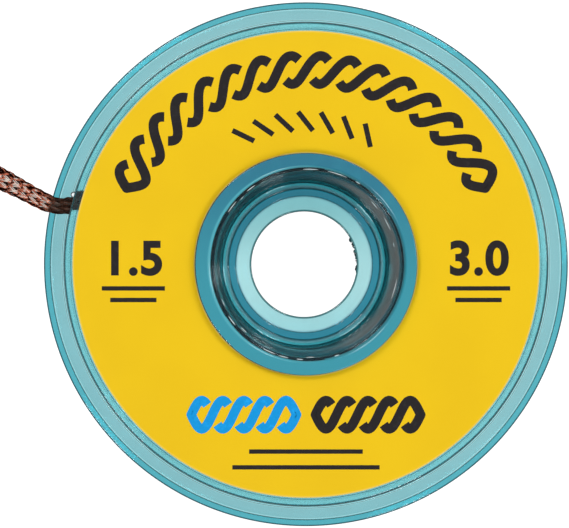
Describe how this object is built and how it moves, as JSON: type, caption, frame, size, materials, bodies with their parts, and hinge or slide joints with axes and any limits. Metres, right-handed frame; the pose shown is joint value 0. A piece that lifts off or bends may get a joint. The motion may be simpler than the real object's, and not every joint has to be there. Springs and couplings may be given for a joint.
{
  "type": "desoldering braid",
  "caption": "Flat copper desoldering braid wound in a round see-through bobbin with a yellow label, its free end pulled out of the side slot.",
  "frame": {"origin": "on the bobbin's axis, at the back face of the base that it lies on", "axes": "+Z along the bobbin's axis towards the label; the braid leaves through the slot towards -X"},
  "size_m": [0.0687, 0.05, 0.012],
  "materials": {
    "tinted_plastic": "clear aqua tint, polished",
    "label_paper": "coated yellow print",
    "copper_braid": "bare bright copper wire, woven"
  },
  "bodies": {
    "bobbin": {"base_shell": "tinted_plastic", "cover_shell": "tinted_plastic", "label": "label_paper", "braid_tail": "copper_braid"},
    "winding": {"wound_braid": "copper_braid"}
  },
  "joints": [
    {"name": "winding_spin", "type": "hinge", "parent": "bobbin", "child": "winding", "pos_m": [0, 0, 0], "axis": [0, 0, 1], "continuous": true}
  ]
}
